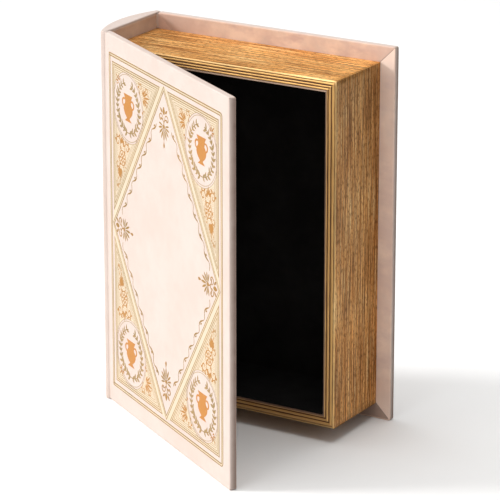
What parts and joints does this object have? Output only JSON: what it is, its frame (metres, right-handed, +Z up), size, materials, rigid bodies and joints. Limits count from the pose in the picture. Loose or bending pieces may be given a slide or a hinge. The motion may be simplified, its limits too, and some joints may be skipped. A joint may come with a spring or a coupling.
{
  "type": "book box",
  "caption": "Keepsake box shaped like a bound book: a hinged front cover opens on a black-lined tray with gilt page edges.",
  "frame": {"origin": "middle of the back cover's tail edge, on the surface that the box stands on", "axes": "+Z up, from tail to head; +Y backwards, out of the back cover; +X from the spine towards the fore-edge"},
  "size_m": [0.2036, 0.1721, 0.27],
  "materials": {
    "covering": "matt cream suede-faced sheet with faint pink mottling",
    "lining_suede": "matt mauve-brown suede-faced sheet",
    "fibreboard": "raw, hidden inside the covering",
    "gilt_rim": "grooved and painted old gold",
    "gilt_pages": "old gold with fine streaks that look like page edges",
    "card": "grey board, hidden",
    "black_velvet": "deep black short pile",
    "gilt_foil": "satin gold stamping foil"
  },
  "bodies": {
    "case": {"back_board": "fibreboard", "back_wrap": "covering", "back_infill": "card", "back_joint_cloth": "covering", "spine_board": "fibreboard", "spine_wrap": "covering", "spine_lining": "lining_suede", "hinge_cloth": "covering", "head_wall": "gilt_rim", "tail_wall": "gilt_rim", "fore_edge_wall": "gilt_rim", "spine_side_wall": "gilt_rim", "head_page_sheet": "gilt_pages", "tail_page_sheet": "gilt_pages", "fore_edge_page_sheet": "gilt_pages", "floor_card": "card", "floor_velvet": "black_velvet", "head_velvet": "black_velvet", "tail_velvet": "black_velvet", "fore_edge_velvet": "black_velvet", "spine_side_velvet": "black_velvet"},
    "front_cover": {"front_board": "fibreboard", "front_wrap": "covering", "front_lining": "lining_suede", "gilt_border": "gilt_foil", "gilt_corner_panels": "gilt_foil", "gilt_lozenge": "gilt_foil", "gilt_wreaths": "gilt_foil", "gilt_palmettes": "gilt_foil"}
  },
  "joints": [
    {"name": "front_cover_hinge", "type": "hinge", "parent": "case", "child": "front_cover", "pos_m": [-0.0964, -0.0683, 0.135], "axis": [0, 0, -1], "range_deg": [-32, 148], "deforming": ["hinge_cloth"]}
  ]
}
